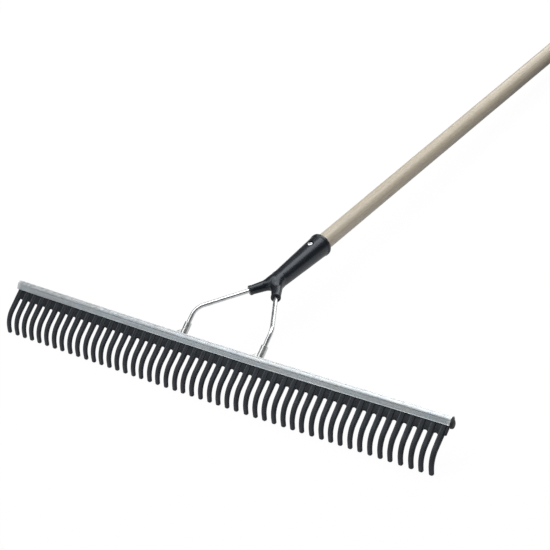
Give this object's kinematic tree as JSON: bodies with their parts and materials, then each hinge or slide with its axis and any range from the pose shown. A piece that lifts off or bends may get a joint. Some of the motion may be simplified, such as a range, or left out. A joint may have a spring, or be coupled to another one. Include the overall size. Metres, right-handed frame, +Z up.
{
  "type": "rubber rake",
  "caption": "Wide rubber rake: hooked rubber tines in a folded steel rail, bent fork rods, forked plastic socket and a long round wooden handle.",
  "frame": {"origin": "middle of the bounding box's bottom face, on the floor the rake lies on, tines down", "axes": "+X along the rail, +Y from the rail along the handle to its free end, +Z up"},
  "size_m": [0.7542, 1.7118, 0.0863],
  "materials": {
    "zinc_sheet": "zinc-coated sheet with a dull mottled grey surface",
    "bracket_steel": "dull grey coated steel",
    "bright_zinc": "bright zinc plating",
    "comb_rubber": "near-black moulded rubber, slightly glossy",
    "cap_rubber": "dark neutral grey soft plastic",
    "socket_plastic": "blue-black moulded plastic with a soft sheen",
    "ash_wood": "pale sanded wood, unvarnished, with fine grain"
  },
  "bodies": {
    "root": {"rail": "zinc_sheet", "comb_left": "comb_rubber", "comb_middle": "comb_rubber", "comb_right": "comb_rubber", "rail_end_cap": "cap_rubber", "bracket_left": "bracket_steel", "bracket_right": "bracket_steel", "rivet_left_a": "bright_zinc", "rivet_left_b": "bright_zinc", "rivet_right_a": "bright_zinc", "rivet_right_b": "bright_zinc", "fork_rod_left": "bright_zinc", "fork_rod_right": "bright_zinc", "fork_socket": "socket_plastic", "handle": "ash_wood", "socket_screw": "bright_zinc"}
  },
  "joints": []
}
